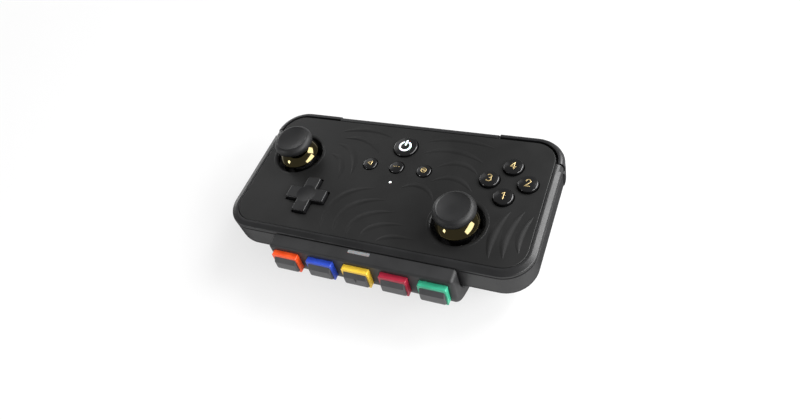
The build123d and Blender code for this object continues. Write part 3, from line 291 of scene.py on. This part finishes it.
for side in ("left", "right"):
    materialOf[side + "_stick_module"] = blackNylon
    materialOf[side + "_stick_yoke"] = nickelSteel
    materialOf[side + "_stick_rocker"] = blackNylon
    materialOf[side + "_stick_shaft"] = nickelSteel
    materialOf[side + "_stick_dome"] = goldPlate
    materialOf[side + "_stick_cap"] = capRubber
    materialOf[side + "_bumper"] = shoulderAbs
    materialOf[side + "_trigger"] = shoulderAbs
for name in fretColours:
    materialOf["fret_key_" + name] = fretAbs[name]
    materialOf["fret_pad_" + name] = padAbs
for name, node in nodes.items():
    node.data.materials.clear()
    node.data.materials.append(materialOf[name])
print("materials on CAD nodes")


def closedSkin(rings, looped=False):
    # rings of points, all with the same count: quads join ring to ring. A looped skin joins its last
    # ring to its first, and another has each end closed by a fan on the mean of its ring. The faces
    # are turned round if the enclosed volume comes out negative.
    rows, columns = rings.shape[:2]
    corner = np.arange(rows * columns).reshape(rows, columns)
    after = np.roll(corner, -1, axis=1)
    if looped:
        points = rings.reshape(-1, 3)
        nextRow, nextAfter = np.roll(corner, -1, axis=0), np.roll(after, -1, axis=0)
        quads = np.stack([corner, after, nextAfter, nextRow], -1).reshape(-1, 4)
        fans = np.zeros((0, 3), int)
    else:
        points = np.vstack([rings.reshape(-1, 3), rings[0].mean(0), rings[-1].mean(0)])
        quads = np.stack([corner[:-1], after[:-1], after[1:], corner[1:]], -1).reshape(-1, 4)
        first = np.stack([after[0], corner[0], np.full(columns, rows * columns)], -1)
        last = np.stack([corner[-1], after[-1], np.full(columns, rows * columns + 1)], -1)
        fans = np.vstack([first, last])
    triangles = np.vstack([quads[:, [0, 1, 2]], quads[:, [0, 2, 3]], fans])
    a, b, c = (points[triangles[:, k]] for k in range(3))
    if np.einsum("ij,ij->i", a, np.cross(b, c)).sum() < 0:
        quads, fans = quads[:, ::-1], fans[:, ::-1]
    return points, quads, fans


def latheSkin(profile, centre, around, looped=False):
    # profile points (distance from an upright axis, height) turned round the axis through centre
    r, z = np.array(profile, float).T
    turn = np.linspace(0, 2 * np.pi, around, endpoint=False)
    x = centre[0] + r[:, None] * np.cos(turn)
    y = centre[1] + r[:, None] * np.sin(turn)
    return closedSkin(np.stack([x, y, np.broadcast_to(z[:, None], x.shape)], -1), looped)


def newPiece(name, skins, material, body):
    # joins closed skins, in mm, into one object that rides on a body
    points, faces, start = [], [], 0
    for skinPoints, quads, fans in skins:
        points.append(skinPoints)
        faces += (quads + start).tolist() + (fans + start).tolist()
        start += len(skinPoints)
    mesh = bpy.data.meshes.new(name)
    mesh.from_pydata((np.vstack(points) * mm).tolist(), [], faces)
    mesh.polygons.foreach_set("use_smooth", np.ones(len(mesh.polygons), bool))
    mesh.materials.append(material)
    piece = bpy.data.objects.new(name, mesh)
    bpy.context.scene.collection.objects.link(piece)
    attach(piece, body)
    return piece


def strokeSkin(path, widths, heights, surface, profile, root):
    # band along a path on a surface: across it the top follows the profile times the height at that
    # point, and the underside lies at the root depth inside the surface
    along = np.gradient(path, axis=0)
    along /= np.linalg.norm(along, axis=1)[:, None]
    side = np.stack([-along[:, 1], along[:, 0]], -1)
    v = np.linspace(-1, 1, len(profile))
    back = v[::-4]  # the plain underside needs only every fourth point
    across = np.concatenate([v, back])
    lift = np.concatenate([profile, np.zeros(len(back))])
    under = np.concatenate([np.zeros(len(profile)), np.ones(len(back))])
    xy = path[:, None] + side[:, None] * (widths[:, None] / 2 * across)[..., None]
    z = surface(xy[..., 0], xy[..., 1]) + heights[:, None] * lift - root * under
    return closedSkin(np.concatenate([xy, z[..., None]], -1))


# Faceplate relief: tapered ribs of a flowing pattern, each given by the four control points of a
# cubic curve and its width, all in mm. The crest lies nearer to one flank, so that flank is
# steeper. The feet of a rib lie at the sink depth inside the face, and its underside deeper by root.
relief = {"height": 0.26, "root": 0.12, "sink": 0.02, "crest": -0.15, "tipWidth": 0.7, "tipHeight": 0.6,
          "tipLeast": 0.01, "steps": 56, "across": 21, "ribs": [
    ((-23, -33), (-28, -20), (-22, -6), (-5, -5), 4.6),
    ((-16, -33), (-20, -22), (-14, -11.5), (3, -10.5), 4.6),
    ((-9, -33), (-12, -26), (-6, -17), (10, -16.5), 4.2),
    ((-2, -33), (-3, -28), (3, -22.5), (16, -22.5), 3.8),
    ((6, -33.5), (7, -30.5), (13, -28), (23, -29), 3.2),
    ((-37, 19), (-28, 19), (-21.5, 12), (-21.5, 0), 4.6),
    ((-38, 12), (-31, 12), (-27, 6), (-27, -3), 4.2),
    ((-39, 27), (-28, 32), (-18, 32), (-9, 27), 4.2),
    ((-35, 23), (-26, 26), (-18, 24), (-12, 15.5), 4.2),
    ((9, 27), (18, 32), (30, 32), (44, 28), 4.2),
    ((9, 19), (18, 26), (30, 25), (41, 18), 4.6),
    ((19, 12), (26, 18.5), (34, 17.5), (40, 11), 4.2),
    ((19, 3.5), (27, 10), (34, 8), (40, 1), 4.2),
    ((6, -3), (12, 3), (20, 1), (24, -7), 3.6),
    ((60, -6), (55.5, -13), (54.5, -22), (57, -31.5), 5.2),
    ((66, -5), (61, -13), (60, -22), (63, -30.5), 5.2),
    ((70.3, -7), (66.5, -13), (66, -21), (68.6, -26.5), 4.4)]}
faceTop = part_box("faceplate")[1][2] / mm


def sunkFace(x, y):
    # level plane a little inside the face, where the ribs stand
    return np.full_like(x, faceTop - relief["sink"])


def reliefRib(p0, p1, p2, p3, width):
    # cubic Bezier path: width and height follow a sine raised to a power below one, so they are blunt
    # in the middle and run out at both tips, and across the rib a cosine rises to the crest
    t = (1 - np.cos(np.linspace(0, np.pi, relief["steps"]))) / 2
    weights = np.stack([(1 - t) ** 3, 3 * t * (1 - t) ** 2, 3 * t ** 2 * (1 - t), t ** 3], -1)
    taper = np.maximum(np.sin(np.pi * t), relief["tipLeast"])
    v = np.linspace(-1, 1, relief["across"])
    crest = relief["crest"]
    rise = np.where(v < crest, (v + 1) / (crest + 1), (1 - v) / (1 - crest))
    profile = 0.5 - 0.5 * np.cos(np.pi * rise)
    heights = (relief["height"] + relief["sink"]) * taper ** relief["tipHeight"]
    return strokeSkin(weights @ np.array([p0, p1, p2, p3], float), width * taper ** relief["tipWidth"],
                      heights, sunkFace, profile, relief["root"])


newPiece("faceplate_relief", [reliefRib(*rib) for rib in relief["ribs"]], plateAbs, "gamepad")
print("relief on the faceplate")


# Skirt of a stick: part of a ball round the stick's own pivot, so that it keeps its gap to the well
# as the stick tilts. The rubber cap stands on it with a short neck, whose foot is at a share of the
# ball's radius.
skirt = {"radius": 11.8, "wall": 0.8, "pivotDepth": 5.2, "topDegrees": 88.5, "rimDegrees": 32.0,
         "neckRadius": 4.6, "neckTop": 6.4, "neckFoot": 0.9, "steps": 36, "edgeSteps": 9, "around": 96}
# Lip of a well: one quarter of a rounded square, level where it meets the face and upright below
lip = {"outer": 13.95, "inner": 11.75, "depth": 2.25, "proud": 0.02, "power": 3.2, "spacing": 1.5,
       "steps": 24, "back": 0.5, "around": 96}


def skirtProfile():
    # outer ball from near the axis down to the rim, half a turn round the rim, and the inner ball back
    start, end = np.radians(skirt["topDegrees"]), np.radians(skirt["rimDegrees"])
    sweep = np.linspace(start, end, skirt["steps"])
    outer = np.stack([np.cos(sweep), np.sin(sweep)], -1) * skirt["radius"]
    inner = outer[::-1] * (1 - skirt["wall"] / skirt["radius"])
    bend = np.linspace(0, np.pi, skirt["edgeSteps"])[1:-1]
    middle = (outer[-1] + inner[0]) / 2
    out = (outer[-1] - inner[0]) / 2
    down = np.array([out[1], -out[0]])
    edge = middle + np.cos(bend)[:, None] * out + np.sin(bend)[:, None] * down
    return np.vstack([outer, edge, inner]) + (0, faceTop - skirt["pivotDepth"])


def lipProfile():
    # rounded-square quarter from the face down to the wall of the well, closed behind the wall, with
    # its points closer together where it turns down
    u = 1 - (1 - np.linspace(0, 1, lip["steps"])) ** lip["spacing"]
    r = lip["outer"] - (lip["outer"] - lip["inner"]) * u
    z = lip["proud"] - lip["depth"] * (1 - (1 - u ** lip["power"]) ** (1 / lip["power"]))
    top = np.stack([r, z], -1)
    behind = [(lip["inner"] + lip["back"], z[-1]), (lip["outer"], -lip["back"])]
    return np.vstack([top, behind]) + (0, faceTop)


for side in ("left", "right"):
    capLow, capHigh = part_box(side + "_stick_cap")
    centre = [(capLow[k] + capHigh[k]) / 2 / mm for k in (0, 1)]
    body = side + "_stick"
    domeSkin = latheSkin(skirtProfile(), centre, skirt["around"])
    dome = newPiece(body + "_skirt", [domeSkin], goldPlate, body)
    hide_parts(body + "_dome")
    neckFoot = faceTop - skirt["pivotDepth"] + skirt["radius"] * skirt["neckFoot"]
    neck = [(skirt["neckRadius"], neckFoot), (skirt["neckRadius"], faceTop + skirt["neckTop"])]
    neckSkin = latheSkin(neck, centre, skirt["around"])
    newPiece(body + "_neck", [neckSkin], capRubber, body)
    lipSkin = latheSkin(lipProfile(), centre, lip["around"], looped=True)
    newPiece(side + "_well_lip", [lipSkin], plateAbs, "gamepad")
print("skirts and lips of the stick wells")


# Bevel of the frame's rim: a flat slope that touches the frame's round edge from outside, with a
# small radius where it turns down into the wall. The rim is as wide as the frame shows round the
# plate, round is the radius of its edge, and corner the radius of its corners seen from above.
bevel = {"rim": 3.5, "round": 3.0, "corner": 14.5, "slopeDegrees": 20.0, "topRadius": 2.0,
         "wallRadius": 0.8, "proud": 0.02, "back": 0.4, "bumperGap": 0.6, "bend": 12, "cornerSteps": 28,
         "endStep": 0.08, "beforeCorner": 1.0}


def bevelProfile():
    # outward distance from the plate's edge and height above the face: level, the slope, the wall
    # down to the end of the round edge, and back along a smaller arc inside it
    slope = np.radians(bevel["slopeDegrees"])
    flat = bevel["rim"] - bevel["round"]
    touch = np.array([flat + bevel["round"] * np.sin(slope), bevel["round"] * (np.cos(slope) - 1)])
    run = np.array([np.cos(slope), -np.sin(slope)])
    topCorner = touch + run * touch[1] / np.sin(slope)
    wallCorner = touch + run * (bevel["rim"] - touch[0]) / np.cos(slope)
    parts = []
    for at, radius, start, end in ((topCorner, bevel["topRadius"], 0.0, slope),
                                   (wallCorner, bevel["wallRadius"], slope, np.pi / 2)):
        turn = np.linspace(start, end, bevel["bend"])
        middle = (start + end) / 2
        heart = at - np.array([np.sin(middle), np.cos(middle)]) * radius / np.cos((end - start) / 2)
        parts.append(heart + radius * np.stack([np.sin(turn), np.cos(turn)], -1))
    outside = np.vstack([*parts, (bevel["rim"], -bevel["round"])]) + bevel["proud"]
    turn = np.linspace(np.pi / 2, 0, bevel["bend"])
    quarter = np.stack([np.sin(turn), np.cos(turn)], -1)
    inside = (flat, -bevel["round"]) + (bevel["round"] - bevel["back"]) * quarter
    return np.vstack([outside, inside])


def bevelPath():
    # plate's edge from the right bumper round the front to the left one, with outward directions and
    # the height of the face: two straight sides and a quarter circle at each front corner. The second
    # ring, close to the end, keeps the shading of the end off the side.
    frameLow, frameHigh = (np.array(corner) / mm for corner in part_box("front_frame"))
    heart = frameHigh[:2] - bevel["corner"]
    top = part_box("right_bumper")[0][1] / mm - bevel["bumperGap"]
    turn = np.radians(np.linspace(0, 90, bevel["cornerSteps"]))
    out = np.stack([np.cos(turn), -np.sin(turn)], -1)
    edge = (heart[0], -heart[1]) + out * (bevel["corner"] - bevel["rim"])
    sideY = np.array([top, top - bevel["endStep"], edge[0, 1] + bevel["beforeCorner"]])
    side = np.stack([np.full(len(sideY), edge[0, 0]), sideY], -1)
    points = np.vstack([side, edge])
    outward = np.vstack([np.tile(out[0], (len(side), 1)), out])
    mirror = np.array([-1, 1])
    bothPoints = np.vstack([points, points[::-1] * mirror])
    bothOutward = np.vstack([outward, outward[::-1] * mirror])
    return bothPoints, bothOutward, frameHigh[2]


edgePoints, edgeOut, frameTop = bevelPath()
across = bevelProfile()
bevelRings = np.concatenate([
    edgePoints[:, None] + edgeOut[:, None] * across[None, :, :1],
    np.broadcast_to(frameTop + across[None, :, 1:], (len(edgePoints), len(across), 1))], -1)
newPiece("rim_bevel", [closedSkin(bevelRings)], shellAbs, "gamepad")
print("bevel of the rim")


def crownOf(node, radius, crown):
    # centre of a round button, and the height of its top over a place: a ball cap that falls by
    # crown at radius
    low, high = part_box(node)
    x, y, top = (low[0] + high[0]) / 2 / mm, (low[1] + high[1]) / 2 / mm, high[2] / mm
    ball = (radius ** 2 + crown ** 2) / (2 * crown)
    return (x, y), lambda px, py: top - ball + np.sqrt(ball ** 2 - (px - x) ** 2 - (py - y) ** 2)


def inkStroke(path, centre, scale, width, surface):
    # line of even width with round ends: near each end the half width follows a quarter circle, and
    # points lie closer together there
    path = np.array(path, float) * scale
    run = np.concatenate([[0], np.cumsum(np.linalg.norm(np.diff(path, axis=0), axis=1))])
    whole = run[-1] + width
    s = whole * (1 - np.cos(np.linspace(0, np.pi, ink["steps"]))) / 2
    near = np.clip(np.minimum(s, whole - s) / (width / 2), 0, 1)
    widths = np.maximum(width * np.sqrt(1 - (1 - near) ** 2), ink["tipLeast"])
    first, last = path[0] - path[1], path[-1] - path[-2]
    path = np.vstack([path[0] + first / np.linalg.norm(first) * width / 2, path,
                      path[-1] + last / np.linalg.norm(last) * width / 2])
    run = np.concatenate([[0], np.cumsum(np.linalg.norm(np.diff(path, axis=0), axis=1))])
    line = np.stack([np.interp(s, run, path[:, k]) for k in (0, 1)], -1) + centre
    heights = np.full(len(s), ink["height"])
    return strokeSkin(line, widths, heights, surface, np.ones(ink["across"]), ink["root"])


def arcPath(x, y, radiusX, radiusY, fromDeg, toDeg, steps=28):
    # points of an ellipse arc from one angle to another
    a = np.radians(np.linspace(fromDeg, toDeg, steps))
    return np.stack([x + radiusX * np.cos(a), y + radiusY * np.sin(a)], -1).tolist()


# Numerals in strokes, one unit high round their middle
numerals = {
    "1": [[(0.06, -0.5), (0.06, 0.5)], [(0.06, 0.5), (-0.2, 0.27)]],
    "2": [arcPath(0, 0.22, 0.28, 0.28, 172, -32) + [(-0.29, -0.5)], [(-0.29, -0.5), (0.3, -0.5)]],
    "3": [arcPath(-0.02, 0.245, 0.26, 0.255, 150, -90), arcPath(-0.02, -0.25, 0.29, 0.255, 90, -152)],
    "4": [[(0.13, 0.5), (-0.32, -0.2)], [(-0.32, -0.2), (0.34, -0.2)], [(0.13, 0.5), (0.13, -0.5)]]}
# Plain marks of the centre buttons and of the home button: a triangle, three dots, a ring with a
# dot, and an open ring with a bar
icons = {
    "left": [[(0.35, 0.45), (-0.4, 0)], [(-0.4, 0), (0.35, -0.45)], [(0.35, -0.45), (0.35, 0.45)]],
    "middle": [[(-0.55, 0), (-0.45, 0)], [(-0.05, 0), (0.05, 0)], [(0.45, 0), (0.55, 0)]],
    "right": [arcPath(0, 0, 0.48, 0.48, 90, -270), arcPath(0, 0, 0.1, 0.1, 90, -270)],
    "home": [arcPath(0, -0.06, 0.5, 0.5, 58, -238, 48), [(0, 0.08), (0, 0.6)]]}
ink = {"height": 0.05, "root": 0.10, "tipLeast": 0.02, "steps": 64, "across": 5}
marks = {
    "numeral": {"size": 3.7, "line": 0.44, "radius": 4.55, "crown": 0.55},
    "icon": {"size": 2.6, "line": 0.40, "radius": 3.5, "crown": 0.35},
    "home": {"size": 5.4, "line": 1.0, "radius": 6.0, "crown": 0.6}}


def inkMark(name, strokes, kind, node, material, body):
    # strokes laid on the crown of a button, in the size that this kind of mark has
    look = marks[kind]
    centre, surface = crownOf(node, look["radius"], look["crown"])
    skins = [inkStroke(path, centre, look["size"], look["line"], surface) for path in strokes]
    newPiece(name, skins, material, body)


for numeral, place in (("1", "bottom"), ("2", "right"), ("3", "left"), ("4", "top")):
    inkMark("numeral_" + numeral, numerals[numeral], "numeral", "face_button_" + place,
            goldFoil, "button_" + place)
for place in ("left", "middle", "right"):
    inkMark("icon_" + place, icons[place], "icon", "centre_button_" + place,
            goldFoil, "centre_" + place)
inkMark("home_symbol", icons["home"], "home", "home_button", whiteInkPaintedGlow, "home")
print("marks on the buttons")

# Floor and studio
studio = {
    "floorSize": 40.0,
    "floorGlow": 0.68,  # share of plain white in what the camera sees of the floor
    "floorLevel": -0.00005,  # a hair below the tread, so that the two faces don't coincide
    "floorPale": 0.7,  # metres from the middle up to which that white is pure
    "floorDark": 3.0,  # metres at which it has faded to grey
    "paper": {"Base Color": toLinear("#E6E6E6"), "Roughness": 0.9, "Specular IOR Level": 0.1},
    "paperNear": "#FFFFFF",
    "paperFar": "#9A9A9A",
    "cameraAt": (0.12085180, -0.15980151, 0.24777878),
    "cameraTurn": (37.97261335, 13.09490647, 20.99530106),
    "lens": 28.21336581,
    "clipStart": 0.01,
    "worldStrength": 0.28,
    "softboxes": {
        "right": {"place": (0.78, -0.07, 0.45), "size": (0.85, 0.30), "power": 11},
        "backRight": {"place": (0.53, 0.58, 0.68), "size": (0.55, 0.5), "power": 12},
        "backLeft": {"place": (-0.62, 0.60, 0.60), "size": (0.5, 0.40), "power": 0.5},
        "lowBackLeft": {"place": (-0.86, 0.48, 0.17), "size": (0.5, 0.18), "power": 1.9},
        "frontLeft": {"place": (-0.62, -0.52, 0.38), "size": (0.16, 0.16), "power": 1.6}},
}
floorMesh = bpy.data.meshes.new("floor")
half = studio["floorSize"] / 2
level = studio["floorLevel"]
floorCorners = [(x * half, y * half, level) for x, y in ((-1, -1), (1, -1), (1, 1), (-1, 1))]
floorMesh.from_pydata(floorCorners, [], [(0, 1, 2, 3)])
floor = bpy.data.objects.new("floor", floorMesh)
bpy.context.scene.collection.objects.link(floor)
# Pale paper floor: rays from the camera, gloss and glass see it partly as plain white that fades to
# grey far away, and the rest of it takes the light and the object's shadow
floorPaint, floorTree, floorShader = newMaterial("paleStudioFloor", studio["paper"])
rays = addNode(floorTree, "ShaderNodeLightPath")
seen = rays.outputs["Is Camera Ray"]
for kind in ("Is Glossy Ray", "Is Transmission Ray"):
    either = addNode(floorTree, "ShaderNodeMath", {"operation": "MAXIMUM"}, {0: seen, 1: rays.outputs[kind]})
    seen = either.outputs[0]
share = addNode(floorTree, "ShaderNodeMath", {"operation": "MULTIPLY", 1: studio["floorGlow"]}, {0: seen})
away = addNode(floorTree, "ShaderNodeVectorMath", {"operation": "LENGTH"}, {
    "Vector": addNode(floorTree, "ShaderNodeTexCoord").outputs["Object"]})
fall = addNode(floorTree, "ShaderNodeMapRange", {
    "From Min": studio["floorPale"], "From Max": studio["floorDark"]}, {"Value": away.outputs["Value"]})
paper = addNode(floorTree, "ShaderNodeMix", {
    "data_type": "RGBA", 6: toLinear(studio["paperNear"]), 7: toLinear(studio["paperFar"])},
    {0: fall.outputs[0]})
white = addNode(floorTree, "ShaderNodeEmission", {"Strength": 1.0}, {"Color": paper.outputs[2]})
mixed = addNode(floorTree, "ShaderNodeMixShader", links={
    0: share.outputs[0], 1: floorShader.outputs[0], 2: white.outputs[0]})
floorEnd = [node for node in floorTree.nodes if node.type == "OUTPUT_MATERIAL"][0]
floorTree.links.new(mixed.outputs[0], floorEnd.inputs["Surface"])
floorMesh.materials.append(floorPaint)

# White world, kept weak so that the black plastic stays black
world = bpy.data.worlds.new("studio")
bpy.context.scene.world = world
world.use_nodes = True
world.node_tree.nodes["Background"].inputs["Color"].default_value = toLinear("#FFFFFF")
world.node_tree.nodes["Background"].inputs["Strength"].default_value = studio["worldStrength"]

for name, box in studio["softboxes"].items():
    # rectangular lamp turned to the object
    lamp = bpy.data.lights.new(name, "AREA")
    lamp.shape = "RECTANGLE"
    lamp.size, lamp.size_y = box["size"]
    lamp.energy = box["power"]
    holder = bpy.data.objects.new(name, lamp)
    bpy.context.scene.collection.objects.link(holder)
    holder.location = box["place"]
    holder.rotation_euler = (-Vector(box["place"])).to_track_quat("-Z", "Y").to_euler()

camera = bpy.data.objects.new("camera", bpy.data.cameras.new("camera"))
bpy.context.scene.collection.objects.link(camera)
camera.location = studio["cameraAt"]
camera.rotation_euler = np.radians(studio["cameraTurn"])
camera.data.lens = studio["lens"]
camera.data.sensor_fit = "HORIZONTAL"
camera.data.clip_start = studio["clipStart"]
bpy.context.scene.camera = camera
bpy.context.scene.view_settings.view_transform = "Standard"
print("floor, lamps and camera")
